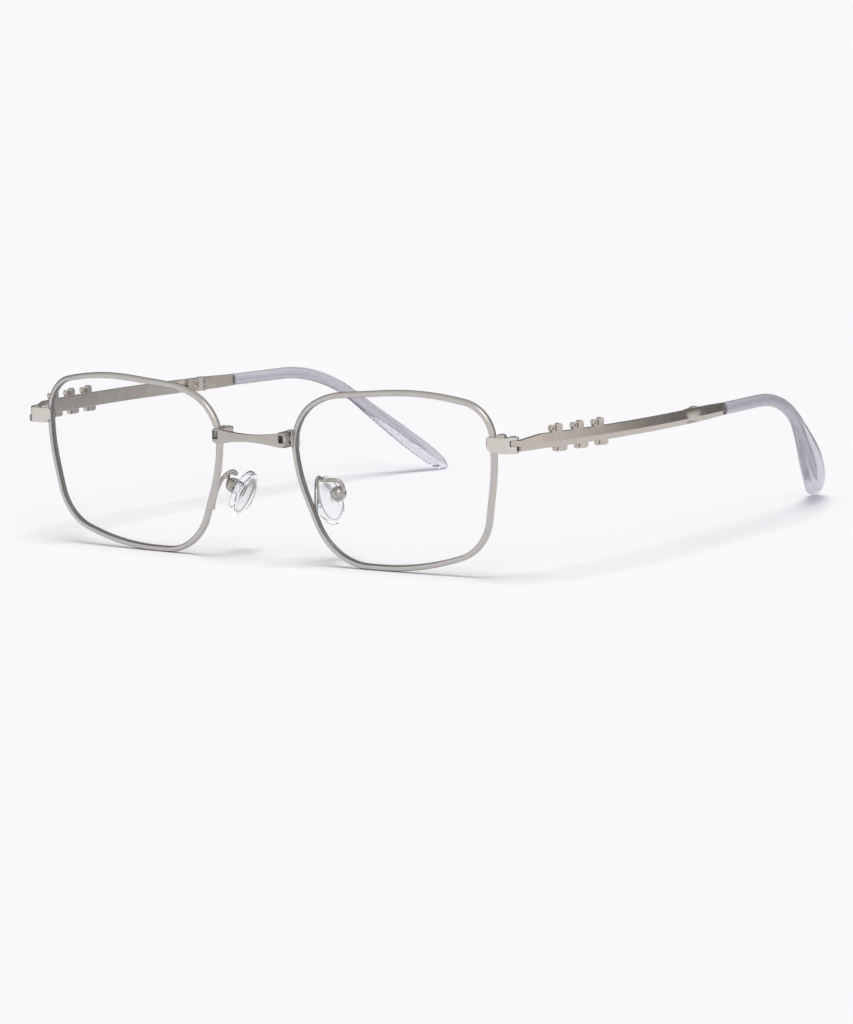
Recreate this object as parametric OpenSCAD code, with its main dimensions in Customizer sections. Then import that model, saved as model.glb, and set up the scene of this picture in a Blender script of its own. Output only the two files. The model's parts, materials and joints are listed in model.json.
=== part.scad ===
// Folding eyeglasses with metal rims, a bridge with two hinges, temples that fold
// at half length, clear temple tips and clear nose pads.
// X runs across the face, with the wearer's left at +X. Y runs back along the
// temples and Z is up. The front frame and the two tips stand on Z = 0.
// The left side is drawn, and the right side is its mirror image.

/* [Front frame] */
// Width of one eye opening, at the middle of the rim wire
eye_w = 47.95; // [44:0.05:54]
// Height of one eye opening, at the middle of the rim wire
eye_h = 36.3; // [33:0.1:40]
// Distance between the two eye openings, at the middle of the rim wire
eye_gap = 19.75; // [18.6:0.05:24]
// Wrap of each eye opening round the face, in degrees
wrap = 3.2; // [0:0.1:6]
// Forward lean of the top of the front, in degrees
lean = 3.9; // [2:0.1:6]
// Radius of the curve that the lenses and rims follow
base_r = 220; // [150:5:400]

/* [Rims and lenses] */
// Width of the rim wire, seen from the front
rim_w = 1.2; // [1.1:0.05:1.5]
// Depth of the rim wire, front to back
rim_d = 1.4; // [1.3:0.05:2]
// Depth of the groove that holds the lens
groove_d = 0.4; // [0.3:0.02:0.5]
// Width of the mouth of the groove
groove_w = 0.7; // [0.5:0.05:0.8]
// Thickness of a lens
lens_t = 1.9; // [1.4:0.1:2.6]
// Gap all round between the lens and the rim
lens_play = 0.04; // [0.02:0.01:0.08]
// Saw cut where the rim opens to take its lens
rim_cut = 0.3; // [0.2:0.05:0.5]

/* [Bridge] */
// Distance from the lens datum forward to the front of the bridge
bridge_reach = 3.7; // [3:0.1:4.5]
// Height of the middle of the bridge above the table
bridge_z = 25.95; // [24:0.05:27]
// Height of the bridge bar at its ends
bridge_end_h = 2.8; // [2.4:0.05:3]
// Height of the bridge bar at its waist
bridge_waist_h = 1.5; // [1.2:0.05:2]
// Thickness of the bridge bar
bridge_t = 1.2; // [1:0.05:1.6]
// Width of the hinge block at each end of the bridge bar
bridge_block_w = 1.75; // [1.6:0.05:2]
// Height of the lug that ties a rim to the bridge
lug_h = 3.5; // [3:0.05:3.7]

/* [Hinges] */
// Outer radius of the hinge knuckles
knuckle_r = 1.1; // [1:0.02:1.2]
// Radius of the hinge screws
screw_r = 0.45; // [0.35:0.01:0.55]
// Running clearance round a screw
screw_play = 0.05; // [0.02:0.01:0.08]
// Gap between two knuckles of a hinge
knuckle_gap = 0.06; // [0.04:0.01:0.1]
// Height of the domed head of a hinge screw
head_h = 0.3; // [0.2:0.05:0.5]

/* [End pieces] */
// Height of the middle of the end pieces above the table
end_z = 27.3; // [26.5:0.05:28]
// Height of an end piece
end_h = 3.15; // [3:0.05:3.6]
// Reach of an end piece outside the middle of the rim wire
end_reach = 4.6; // [4:0.1:5.4]
// Height of the ridge above the bottom of an end piece
end_ridge = 1.8; // [1.6:0.05:2]

/* [Temples] */
// Length of the bowed part of a temple
bow_len = 51.6; // [48:0.1:55]
// Radius of the bow of a temple, seen from above
bow_r = 192; // [160:1:240]
// Turn of a temple away from the head where it leaves its neck, in degrees
flare = 10; // [8:0.1:12]
// Height of a temple
temple_h = 2.9; // [2.8:0.05:3.2]
// Thickness of a temple at its ridge
temple_t = 1.4; // [1.2:0.05:1.6]
// Drop from the ridge to the top and bottom edges of the outer face
ridge_drop = 0.4; // [0.2:0.05:0.5]
// Slope of a temple down towards its tip, in degrees
pitch = 0.7; // [0:0.05:2]
// Distance that the neck carries the temple outside its hinge
neck_out = 3.7; // [3.4:0.1:4.2]
// Length of the neck from its hinge back to the temple
neck_back = 5.4; // [5:0.1:6]

/* [Temple trim] */
// Number of motifs along each temple
trim_count = 3; // [1:1:4]
// Distance from the front of the temple to the middle of the first motif
trim_start = 4.9; // [4.2:0.05:6]
// Distance from one motif to the next
trim_step = 6.45; // [6:0.05:7]
// Height that the upright tab of a motif stands above the temple
tab_h = 1.75; // [1.6:0.05:2.1]
// Depth that a motif hangs below the temple
skirt_h = 1.05; // [0.9:0.05:1.3]

/* [Fold hinges] */
// Distance from the seam forward to the fold screw
fold_back = 1.65; // [1.5:0.05:1.8]
// Distance from the inner face of the temple in to the fold screw
fold_in = 0.3; // [0.3:0.02:0.4]
// Length of the straight end of the front half, with the block of the fold screw
fold_block = 5.6; // [5:0.1:6.5]
// Outer radius of the fold knuckles
fold_r = 1; // [0.9:0.02:1.05]
// Gap at the seam of the two temple halves
seam_gap = 0.06; // [0.04:0.01:0.1]
// Length of the metal link behind the seam
link_len = 9.7; // [8:0.1:11]
// Height of the link where the tip begins
link_end_h = 2.5; // [2.3:0.05:2.7]

/* [Tips] */
// Length of the straight part of a tip
tip_straight = 17; // [12:0.5:19]
// Radius of the bend of a tip over the ear
tip_bend_r = 38; // [32:1:48]
// Angle at which the tip runs down behind the ear, in degrees
tip_drop = 38; // [35:0.5:42]
// Distance that the end of a tip turns in
tip_toe = 8.6; // [6:0.1:11]
// Lean of the far end of a tip, its top away from the head, in degrees
tip_twist = 23; // [10:1:28]
// Height of a tip at its front end
tip_h = 2.6; // [2.55:0.05:2.9]
// Height of the blade of a tip, near its far end
tip_end_h = 6.7; // [5.5:0.1:7.5]
// Length over which the blade runs to its point
blade_len = 10.5; // [8:0.5:12]
// Thickness of a tip
tip_t = 2.35; // [2.1:0.05:2.5]
// Height of the metal core in a tip
core_h = 1.5; // [1.2:0.05:1.7]
// Thickness of the metal core in a tip
core_t = 0.8; // [0.6:0.05:1]
// Length of tip left clear past the end of the core
core_short = 7; // [6:0.5:10]

/* [Nose pads] */
// Length of a nose pad
pad_len = 10.4; // [9:0.1:13]
// Width of a nose pad
pad_w = 6.8; // [6:0.1:7.4]
// Thickness of a nose pad
pad_t = 2.1; // [1.8:0.05:2.4]
// Distance from the middle of the nose to the middle of a pad
pad_x = 11.35; // [11:0.05:12.5]
// Distance of a pad behind the lens datum
pad_y = 8.7; // [7.6:0.1:9.5]
// Height of the middle of a pad above the table
pad_z = 12.3; // [11:0.05:13]
// Radius of the wire of a pad arm
arm_r = 0.45; // [0.35:0.01:0.5]

/* [Hidden] */

$fn = 48;
round_fn = 32;
bow_fn = 400;
eps = 0.01;

metal = [0.72, 0.70, 0.67];
dark_metal = [0.50, 0.48, 0.46];
clear_tint = [0.80, 0.80, 0.88, 0.6];
glass_tint = [0.88, 0.94, 0.98, 0.3];

// Datum of an eye opening: its middle, in the frame of the whole object
eye_x = eye_gap / 2 + eye_w / 2 * cos(wrap);
eye_y = -0.12;
eye_z = eye_h / 2 * cos(lean) + rim_w / 2;

// Corners of the eye opening, as shares of its half width and half height,
// each with the radius of its round in millimetres, from the upper outer corner
// over the top and round to the middle of the outer side
eye_corners = [
    [0.974, 0.861, 7.7],
    [0.346, 1.030, 64.5],
    [-0.622, 0.923, 17.9],
    [-1.027, 0.651, 10.7],
    [-0.978, -0.027, 32.6],
    [-0.668, -1.005, 13],
    [0.217, -0.993, 24.9],
    [0.877, -0.728, 9.5],
    [1.013, 0.238, 41],
];
arc_steps = 8;

function unit(v) = v / norm(v);
function up_angle(from, to) = to < from ? to + 360 : to;

// Points of one rounded corner, each with its outward direction
function corner_arc(vs, i) =
    let (
        n = len(vs),
        p = [vs[i][0] * eye_w / 2, vs[i][1] * eye_h / 2],
        before = vs[(i + n - 1) % n],
        after = vs[(i + 1) % n],
        a = unit([before[0] * eye_w / 2, before[1] * eye_h / 2] - p),
        b = unit([after[0] * eye_w / 2, after[1] * eye_h / 2] - p),
        r = vs[i][2],
        half = acos(a * b) / 2,
        c = p + unit(a + b) * r / sin(half),
        s = p + a * r / tan(half) - c,
        e = p + b * r / tan(half) - c,
        w0 = atan2(s[1], s[0]),
        w1 = up_angle(w0, atan2(e[1], e[0]))
    )
    [for (j = [0:arc_steps]) let (w = w0 + (w1 - w0) * j / arc_steps)
        [c + r * [cos(w), sin(w)], [cos(w), sin(w)]]];

eye_outline = [for (i = [0:len(eye_corners) - 1]) each corner_arc(eye_corners, i)];

// The rim opens on its outer side, at the height of the end piece
open_v = end_z - eye_z;
outer_side = concat(corner_arc(eye_corners, len(eye_corners) - 1), [eye_outline[0]]);
function on_side(v) =
    let (
        i = [for (j = [0:arc_steps]) if (outer_side[j][0][1] <= v && outer_side[j + 1][0][1] > v) j][0],
        a = outer_side[i],
        b = outer_side[i + 1],
        t = (v - a[0][1]) / (b[0][1] - a[0][1])
    )
    [a[0] + t * (b[0] - a[0]), unit(a[1] + t * (b[1] - a[1]))];
open_high = open_v + rim_cut / 2;
open_low = open_v - rim_cut / 2;
side_from = len(eye_outline) - arc_steps - 1;
rim_path = concat(
    [on_side(open_high)],
    [for (i = [side_from:len(eye_outline) - 1]) if (eye_outline[i][0][1] > open_high + 0.1) eye_outline[i]],
    [for (i = [0:side_from - 1]) eye_outline[i]],
    [for (i = [side_from:len(eye_outline) - 1]) if (eye_outline[i][0][1] < open_low - 0.1) eye_outline[i]],
    [on_side(open_low)]);

function sag(u, v) = (u * u + v * v) / (2 * base_r);

// Section of the rim wire: out from its middle, then back from its middle
rim_edge = 0.14;
rim_section = [
    [rim_w / 2, -rim_d * 0.3],
    [rim_w / 2, rim_d * 0.3],
    [rim_w * 0.28, rim_d / 2],
    [-rim_w / 2 + rim_edge, rim_d / 2],
    [-rim_w / 2, rim_d / 2 - rim_edge],
    [-rim_w / 2, groove_w / 2],
    [-rim_w / 2 + groove_d, 0],
    [-rim_w / 2, -groove_w / 2],
    [-rim_w / 2, rim_edge - rim_d / 2],
    [-rim_w / 2 + rim_edge, -rim_d / 2],
    [rim_w * 0.28, -rim_d / 2],
];
// Where the bevel of the lens and its rim-side wall end, out from the rim middle
bevel_top = -rim_w / 2 + groove_d - lens_play;
bevel_foot = -rim_w / 2 - lens_play;
bevel_half = groove_w / 2 - lens_play;

// Skin over a row of rings with equal counts of points, closed at both ends. Seen
// from the first ring towards the last, the points of a ring run clockwise.
module skin(rings) {
    n = len(rings);
    m = len(rings[0]);
    points = [for (r = rings) each r];
    sides = [for (i = [0:n - 2], j = [0:m - 1])
        let (a = i * m + j, b = i * m + (j + 1) % m)
        each [[a, a + m, b + m], [a, b + m, b]]];
    first = [for (j = [0:m - 1]) j];
    last = [for (j = [m - 1:-1:0]) (n - 1) * m + j];
    polyhedron(points = points, faces = concat(sides, [first, last]), convexity = 6);
}

// Places the left side, or its mirror image, in the frame of the whole object
module on(side) {
    translate([0, -mid_y, 0])
        if (side > 0) children();
        else mirror([1, 0, 0]) children();
}

module eye_frame() {
    translate([eye_x, eye_y, eye_z])
        rotate([lean, 0, wrap])
            children();
}

// Where a point of the eye opening lies in the frame of the front
function eye_point(u, v, back = 0) =
    let (
        d = sag(u, v) + back,
        y1 = d * cos(lean) - v * sin(lean),
        z1 = d * sin(lean) + v * cos(lean)
    )
    [eye_x + u * cos(wrap) - y1 * sin(wrap), eye_y + u * sin(wrap) + y1 * cos(wrap), eye_z + z1];

module rim(side) {
    color(metal) on(side) eye_frame()
        skin([for (q = rim_path)
            [for (s = rim_section)
                let (p = q[0] + s[0] * q[1])
                [p[0], sag(p[0], p[1]) + s[1], p[1]]]]);
}

// Rings of a lens from the middle of its back, over the bevel, to its front
lens_shares = [0.04, 0.4, 0.75];
function lens_ring(share, out, back) =
    [for (q = eye_outline)
        let (p = share * (q[0] + out * q[1]))
        [p[0], sag(p[0], p[1]) + back, p[1]]];

module lens(side) {
    color(glass_tint) on(side) eye_frame()
        skin(concat(
            [for (f = lens_shares) lens_ring(f, bevel_foot, lens_t / 2)],
            [lens_ring(1, bevel_foot, lens_t / 2),
             lens_ring(1, bevel_foot, bevel_half),
             lens_ring(1, bevel_top, 0),
             lens_ring(1, bevel_foot, -bevel_half),
             lens_ring(1, bevel_foot, -lens_t / 2)],
            [for (i = [len(lens_shares) - 1:-1:0]) lens_ring(lens_shares[i], bevel_foot, -lens_t / 2)]));
}

// A screw on the Z axis whose head stands on z_top
module screw(z_bottom, z_top, r = screw_r) {
    translate([0, 0, z_bottom]) cylinder(r = r, h = z_top - z_bottom + head_h / 2);
    intersection() {
        translate([0, 0, z_top]) cylinder(r = r * 2, h = head_h);
        translate([0, 0, z_top + head_h - screw_dome_r]) sphere(r = screw_dome_r);
    }
}
screw_dome_r = 2;
bore_fit = 0.01;

// Bridge: its hinge axes stand beside the rims, behind the bar
nasal_x = eye_point(-eye_w / 2 * 0.99, bridge_z - eye_z)[0] - rim_w / 2;
bridge_axis_x = nasal_x - knuckle_r - 0.2;
bridge_axis_y = 0.3;
bridge_knuckle_h = 1.3;
bridge_ear_h = 0.85;
bridge_ear_top = bridge_z + bridge_knuckle_h / 2 + knuckle_gap + bridge_ear_h;
bridge_ear_bottom = bridge_z - bridge_knuckle_h / 2 - knuckle_gap - bridge_ear_h;
block_out = bridge_axis_x + 1.1;
block_in = block_out - bridge_block_w;
bridge_front = -bridge_reach;

// Half of the saddle outline of the bar: its height falls from the ends to the waist
saddle_steps = 12;
function saddle_h(x) =
    bridge_waist_h + (bridge_end_h - bridge_waist_h) * pow(abs(x) / block_in, 1.8);

module bridge_ears(x) {
    for (z = [bridge_ear_bottom, bridge_ear_top - bridge_ear_h])
        translate([0, 0, z]) linear_extrude(bridge_ear_h) {
            translate([x, bridge_axis_y]) circle(r = knuckle_r);
            polygon([
                [sign(x) * block_in, bridge_front + bridge_t / 2],
                [sign(x) * (block_out - eps), bridge_front + bridge_t / 2],
                [sign(x) * (block_out - eps), bridge_front + bridge_block_d - 0.1],
                [x + sign(x) * 0.8, bridge_axis_y - 0.4],
                [x - sign(x) * knuckle_r, bridge_axis_y],
            ]);
        }
}

module bridge_bar() {
    color(metal) on(1) difference() {
        union() {
            // Saddle bar
            translate([0, bridge_front + bridge_t, bridge_z])
                rotate([90, 0, 0])
                    linear_extrude(bridge_t)
                        polygon(concat(
                            [for (i = [-saddle_steps:saddle_steps])
                                let (x = block_in * i / saddle_steps)
                                [x, saddle_h(x) / 2]],
                            [for (i = [saddle_steps:-1:-saddle_steps])
                                let (x = block_in * i / saddle_steps)
                                [x, -saddle_h(x) / 2]]));
            for (s = [-1, 1]) {
                // Hinge block
                translate([s > 0 ? block_in - eps : -block_out, bridge_front, bridge_z - bridge_end_h / 2])
                    cube([bridge_block_w + eps, bridge_block_d, bridge_end_h]);
                bridge_ears(s * bridge_axis_x);
            }
        }
        for (s = [-1, 1]) {
            // Window in the front of the hinge block
            translate([s * (block_in + block_out) / 2 + s * 0.15, bridge_front, bridge_z + 0.25])
                cube([bridge_block_w - 0.45, 2 * bridge_block_d + 1.4, bridge_knuckle_h + 0.35], center = true);
            // Room for the middle knuckle and the web of the lug
            translate([s * bridge_axis_x, bridge_axis_y, bridge_z])
                cylinder(r = knuckle_r + 0.2, h = bridge_knuckle_h + 2 * knuckle_gap, center = true);
            translate([s * bridge_axis_x, bridge_axis_y, 0])
                cylinder(r = screw_r + bore_fit, h = 3 * bridge_z, center = true);
            // Soft bottom corner of the hinge block
            translate([s * block_out, bridge_front + bridge_block_d / 2, bridge_z - bridge_end_h / 2])
                rotate([0, 45, 0]) cube([0.7, 2 * bridge_block_d, 0.7], center = true);
        }
    }
}
bridge_block_d = 2.2;

module bridge_screw(side) {
    color(dark_metal) on(side)
        translate([bridge_axis_x, bridge_axis_y, 0])
            screw(bridge_ear_bottom - 0.1, bridge_ear_top);
}

// Lug: its knuckle turns between the ears of the bridge, and its plate holds the rim
module bridge_lug(side) {
    plate_x = nasal_x - 0.02;
    plate_t = 0.34;
    color(metal) on(side) difference() {
        union() {
            translate([bridge_axis_x, bridge_axis_y, bridge_z])
                cylinder(r = knuckle_r, h = bridge_knuckle_h, center = true);
            translate([bridge_axis_x, bridge_axis_y - 0.75, bridge_z - bridge_knuckle_h / 2])
                cube([plate_x - bridge_axis_x + eps, 1.7, bridge_knuckle_h]);
            intersection() {
                translate([plate_x, -1.4, bridge_z - lug_h / 2])
                    cube([plate_t, 2.65, lug_h]);
                // Waisted plate, so that its top and bottom run into the rim
                translate([0, 2, bridge_z]) rotate([90, 0, 0]) linear_extrude(4)
                    polygon([
                        [plate_x + 0.25, lug_h / 2],
                        [plate_x + 0.08, lug_h / 2 - 0.4],
                        [plate_x, lug_h / 2 - 1],
                        [plate_x, 1 - lug_h / 2],
                        [plate_x + 0.08, 0.4 - lug_h / 2],
                        [plate_x + 0.2, -lug_h / 2],
                        [plate_x + plate_t, -lug_h / 2],
                        [plate_x + plate_t, lug_h / 2],
                    ]);
            }
        }
        translate([bridge_axis_x, bridge_axis_y, bridge_z])
            cylinder(r = screw_r + screw_play, h = 2 * lug_h, center = true);
        // Clear of the ears
        for (z = [bridge_ear_top, bridge_ear_bottom])
            translate([bridge_axis_x, bridge_axis_y, z])
                cylinder(r = knuckle_r + 0.12, h = 2 * (bridge_ear_h + knuckle_gap), center = true);
    }
}

// End piece: a ridged block in front of the rim that carries the temple hinge
side_point = eye_point(on_side(open_v)[0][0], open_v);
side_x = side_point[0];
side_y = side_point[1];
end_in = side_x - 0.75;
end_out = side_x + end_reach - 0.2;
end_front = side_y - rim_d / 2 - 1.2;
end_back = side_y - 0.1;
end_bottom = end_z - end_h / 2;
end_top = end_z + end_h / 2;
facet = 0.35;
hinge_x = end_out + 0.1;
hinge_y = end_front + 2.4;
end_low_ear = 1.35;
end_high_ear = 0.5;
end_knuckle_bottom = end_bottom + end_low_ear + knuckle_gap;
end_knuckle_top = end_top - end_high_ear - knuckle_gap;

module end_ear(z, h, lip) {
    translate([0, 0, z]) linear_extrude(h) {
        translate([hinge_x, hinge_y]) circle(r = knuckle_r);
        polygon([
            [end_out - 1.4, end_front + facet],
            [end_out, end_front + 0.6],
            [hinge_x + lip, hinge_y - 1.25 + lip * 0.3],
            [hinge_x + knuckle_r * 0.95, hinge_y],
            [hinge_x, hinge_y + knuckle_r * 0.9],
            [end_out - 1.4, end_back],
        ]);
    }
}

module end_piece(side) {
    color(metal) on(side) difference() {
        union() {
            intersection() {
                // Seen from above
                translate([0, 0, end_bottom]) linear_extrude(end_h)
                    polygon([
                        [end_in, end_front + 0.3],
                        [end_in + 0.5, end_front],
                        [end_out - 0.6, end_front],
                        [end_out, end_front + 0.5],
                        [end_out + 0.15, end_front + 1.2],
                        [end_out - 0.6, end_back],
                        [side_x + rim_w / 2, end_back],
                        [side_x + rim_w / 2, side_y - rim_d / 2 + 0.05],
                        [side_x - rim_w / 2 + 0.1, side_y - rim_d / 2 + 0.05],
                        [side_x - rim_w / 2 + 0.02, side_y - lens_t / 2 - 0.2],
                        [end_in, side_y - lens_t / 2 - 0.2],
                    ]);
                // Seen from the side: two facets that meet in a ridge
                translate([end_in - 1, 0, 0]) rotate([90, 0, 90]) linear_extrude(end_out - end_in + 3)
                    polygon([
                        [end_front + facet, end_bottom],
                        [end_front, end_bottom + end_ridge],
                        [end_front + facet, end_top],
                        [end_back + 1, end_top],
                        [end_back + 1, end_bottom],
                    ]);
                // Seen from the front: soft lower inner corner
                translate([0, end_back + 2, 0]) rotate([90, 0, 0]) linear_extrude(end_back - end_front + 4)
                    polygon([
                        [end_in, end_top - 0.3],
                        [end_in + 0.3, end_top],
                        [end_out + 1, end_top],
                        [end_out + 1, end_bottom],
                        [end_in + 1.3, end_bottom],
                        [end_in + 0.4, end_bottom + 0.6],
                        [end_in, end_bottom + 1.6],
                    ]);
            }
            end_ear(end_bottom, end_low_ear, 1.3);
            end_ear(end_top - end_high_ear, end_high_ear, 0.75);
        }
        translate([hinge_x, hinge_y, end_bottom + end_low_ear])
            cylinder(r = knuckle_r + 0.15, h = end_h - end_low_ear - end_high_ear);
        translate([hinge_x, hinge_y, end_z])
            cylinder(r = screw_r + bore_fit, h = 2 * end_h, center = true);
    }
}

module temple_screw(side) {
    color(dark_metal) on(side)
        translate([hinge_x, hinge_y, 0])
            screw(end_bottom + 0.2, end_top);
}

// Rim lock: two half blocks on the ends of the rim wire, drawn together by a screw
lock_w = 1.9;
lock_d = 1.5;
lock_screw_r = 0.38;
lock_h = 3.6;
lock_x = side_x + rim_w / 2 + 0.1;
lock_y = end_back;
lock_z = end_z + 0.05;
module rim_lock(side) {
    color(metal) on(side) difference() {
        translate([lock_x - 0.25, lock_y, lock_z - lock_h / 2])
            cube([lock_w + 0.25, lock_d, lock_h]);
        translate([lock_x - 1, lock_y - 1, end_z - rim_cut / 2])
            cube([lock_w + 2, lock_d + 2, rim_cut]);
        translate([lock_x + lock_w / 2, lock_y + lock_d / 2, lock_z])
            cylinder(r = lock_screw_r + bore_fit, h = 2 * lock_h, center = true);
        // Round back edges
        for (x = [lock_x + lock_w])
            translate([x, lock_y + lock_d, lock_z])
                rotate([0, 0, 45]) cube([0.6, 0.6, 2 * lock_h], center = true);
    }
}

module rim_lock_screw(side) {
    color(dark_metal) on(side)
        translate([lock_x + lock_w / 2, lock_y + lock_d / 2, 0])
            screw(lock_z - lock_h / 2 + 0.2, lock_z + lock_h / 2, lock_screw_r);
}

// Frame of a temple: origin on the ridge at its front end, X out, Y back along it
bar_x = hinge_x + neck_out;
bar_y = hinge_y + neck_back;
bar_z = end_z + 0.4;
module temple_frame() {
    translate([bar_x, bar_y, bar_z])
        rotate([0, 0, -flare])
            rotate([-pitch, 0, 0])
                children();
}

// Frame at a distance s along the bow of a temple
function bow_angle(s) = s / bow_r * 180 / PI;
module at_bow(s) {
    translate([-bow_r, 0, 0]) rotate([0, 0, bow_angle(s)]) translate([bow_r, 0, 0]) children();
}

// Frame of the fold and of the rear half: origin on the ridge at the seam
module rear_frame() {
    temple_frame() at_bow(bow_len) translate([0, fold_block, 0]) children();
}

// The same frames as functions, for points
function temple_point(p) =
    let (
        y1 = p[1] * cos(pitch) + p[2] * sin(pitch),
        z1 = -p[1] * sin(pitch) + p[2] * cos(pitch)
    )
    [bar_x + p[0] * cos(flare) + y1 * sin(flare), bar_y - p[0] * sin(flare) + y1 * cos(flare), bar_z + z1];
function rear_point(p) =
    let (
        w = bow_angle(bow_len),
        x = bow_r + p[0],
        y = fold_block + p[1]
    )
    temple_point([x * cos(w) - y * sin(w) - bow_r, x * sin(w) + y * cos(w), p[2]]);

// Section of a temple with its ridge 40% up the outer face, from the middle height
ridge_share = 0.1;
function temple_section(h, t) = [
    [-t, h / 2],
    [-ridge_drop, h / 2],
    [0, -ridge_share * h],
    [-ridge_drop, -h / 2],
    [-t, -h / 2],
];

module along(from, to) {
    translate([0, to, 0]) rotate([90, 0, 0]) linear_extrude(to - from) children();
}

// Neck: the knuckle in the end piece and the flared arm out to the temple
neck_h = 2.2;
neck_z = end_z - 0.15;
module temple_neck(side) {
    start_out = [hinge_x + 1.65, hinge_y + 0.05];
    start_in = [hinge_x + 0.3, hinge_y + 1.5];
    color(metal) on(side) difference() {
        union() {
            translate([hinge_x, hinge_y, end_knuckle_bottom])
                cylinder(r = knuckle_r, h = end_knuckle_top - end_knuckle_bottom);
            translate([0, 0, end_knuckle_bottom])
                linear_extrude(min(end_knuckle_top, neck_z + neck_h / 2) - end_knuckle_bottom)
                    polygon([
                        [hinge_x + 0.5, hinge_y - 0.8],
                        start_out,
                        start_out + [0.25, 0.5],
                        start_in + [0.25, 0.5],
                        start_in,
                        [hinge_x - 0.5, hinge_y + 0.8],
                    ]);
            skin([
                [for (p = [
                    [start_in[0], start_in[1], neck_h / 2],
                    [start_out[0] - 0.2, start_out[1] + 0.1, neck_h / 2],
                    [start_out[0], start_out[1], -ridge_share * neck_h],
                    [start_out[0] - 0.2, start_out[1] + 0.1, -neck_h / 2],
                    [start_in[0], start_in[1], -neck_h / 2]])
                    [p[0], p[1], neck_z + p[2]]],
                [for (s = temple_section(temple_h, temple_t)) temple_point([s[0], 0, s[1]])],
            ]);
        }
        translate([hinge_x, hinge_y, end_z])
            cylinder(r = screw_r + screw_play, h = 2 * end_h, center = true);
    }
}

// One motif of the trim: an eyelet and a tab on the top edge, and a skirt below
eyelet_r = 0.65;
eyelet_hole = 0.34;
eyelet_up = 0.15;
tab_w = 1.65;
trim_out = -ridge_drop;
trim_in = -temple_t + 0.1;
module motif() {
    translate([trim_in, 0, 0]) rotate([90, 0, 90]) linear_extrude(trim_out - trim_in) {
        top = temple_h / 2;
        difference() {
            union() {
                translate([-1.9, top + eyelet_r + eyelet_up]) circle(r = eyelet_r, $fn = round_fn);
                translate([-1.9, top - 0.3]) square([1.3, 0.6]);
                translate([-2.1, top - 0.3]) square([0.4, 0.3 + eyelet_up + 0.3]);
            }
            translate([-1.9, top + eyelet_r + eyelet_up]) circle(r = eyelet_hole, $fn = round_fn);
        }
        translate([-tab_w / 2, top - 0.3]) square([tab_w, tab_h + 0.3 - tab_w * 0.4]);
        intersection() {
            translate([0, top + tab_h - tab_w / 2 - 0.05]) circle(r = tab_w / 2 + 0.05, $fn = round_fn);
            translate([-tab_w / 2, top]) square([tab_w, 2 * tab_h]);
        }
        difference() {
            union() {
                translate([-0.65, -top - skirt_h + eyelet_r]) circle(r = eyelet_r, $fn = round_fn);
                translate([-0.65, -top - skirt_h + 0.15]) square([2.85, skirt_h]);
                translate([0.4, -top - skirt_h]) square([1.25, skirt_h]);
                translate([-1.25, -top - skirt_h + eyelet_r]) square([1, skirt_h]);
            }
            translate([-0.65, -top - skirt_h + eyelet_r]) circle(r = eyelet_hole, $fn = round_fn);
        }
    }
}

fold_y = -fold_back;
fold_x = -temple_t - fold_in;
fold_knuckle_h = 1.1;

module temple_bar(side) {
    color(metal) on(side) difference() {
        union() {
            temple_frame() {
                translate([-bow_r, 0, 0])
                    rotate_extrude(angle = bow_angle(bow_len), $fn = bow_fn)
                        polygon([for (q = temple_section(temple_h, temple_t)) [bow_r + q[0], q[1]]]);
                for (i = [0:trim_count - 1])
                    at_bow(trim_start + i * trim_step) motif();
            }
            rear_frame() along(-fold_block, 0) polygon(temple_section(temple_h, temple_t));
        }
        rear_frame() {
            fold_pocket();
            translate([fold_x, fold_y, 0])
                cylinder(r = screw_r + bore_fit, h = 2 * temple_h, center = true);
        }
    }
}

// Room for the turning knuckle and its web
module fold_pocket() {
    h = fold_knuckle_h + 2 * knuckle_gap;
    translate([fold_x, fold_y, 0]) {
        cylinder(r = fold_r + 0.12, h = h, center = true);
        translate([-2 * fold_r, 0, -h / 2]) cube([2 * fold_r + fold_in + 0.45, 2 * fold_back, h]);
    }
}

// Fold block: carries the fold screw on the inner face of the front half
module fold_block(side) {
    color(metal) on(side) rear_frame() difference() {
        union() {
            translate([fold_x - 0.3, -fold_block, -temple_h / 2])
                cube([0.3 + fold_in, fold_block, temple_h]);
            translate([fold_x, fold_y, 0])
                cylinder(r = fold_r, h = temple_h, center = true);
        }
        fold_pocket();
        // The knuckles stay on the inner side of the temple plate
        translate([fold_x + fold_in, fold_y - 2 * fold_r, -temple_h])
            cube([2 * fold_r, 4 * fold_r, 2 * temple_h]);
        translate([fold_x, fold_y, 0])
            cylinder(r = screw_r + bore_fit, h = 2 * temple_h, center = true);
        // Round relief in front of the screw
        translate([fold_x - 0.3, fold_y - 2.1, 0])
            rotate([0, 90, 0]) cylinder(r = 0.8, h = 0.8, center = true);
    }
}

module fold_screw(side) {
    color(dark_metal) on(side) rear_frame()
        translate([fold_x, fold_y, 0])
            screw(0.2 - temple_h / 2, temple_h / 2);
}

// Fold leaf: the turning knuckle and the foot that joins it to the link
link_start = seam_gap;
leaf_foot = 3.2;
module fold_leaf(side) {
    color(metal) on(side) rear_frame() difference() {
        union() {
            translate([fold_x, fold_y, 0])
                cylinder(r = fold_r, h = fold_knuckle_h, center = true);
            translate([fold_x - 0.45, fold_y, -fold_knuckle_h / 2])
                cube([0.45 + fold_in, fold_back + leaf_foot, fold_knuckle_h]);
            translate([fold_x - 0.3, link_start, -temple_h / 2 + 0.3])
                cube([0.3 + fold_in, leaf_foot - 0.4, temple_h - 0.6]);
        }
        translate([fold_x, fold_y, 0])
            cylinder(r = screw_r + screw_play, h = 2 * temple_h, center = true);
    }
}

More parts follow.
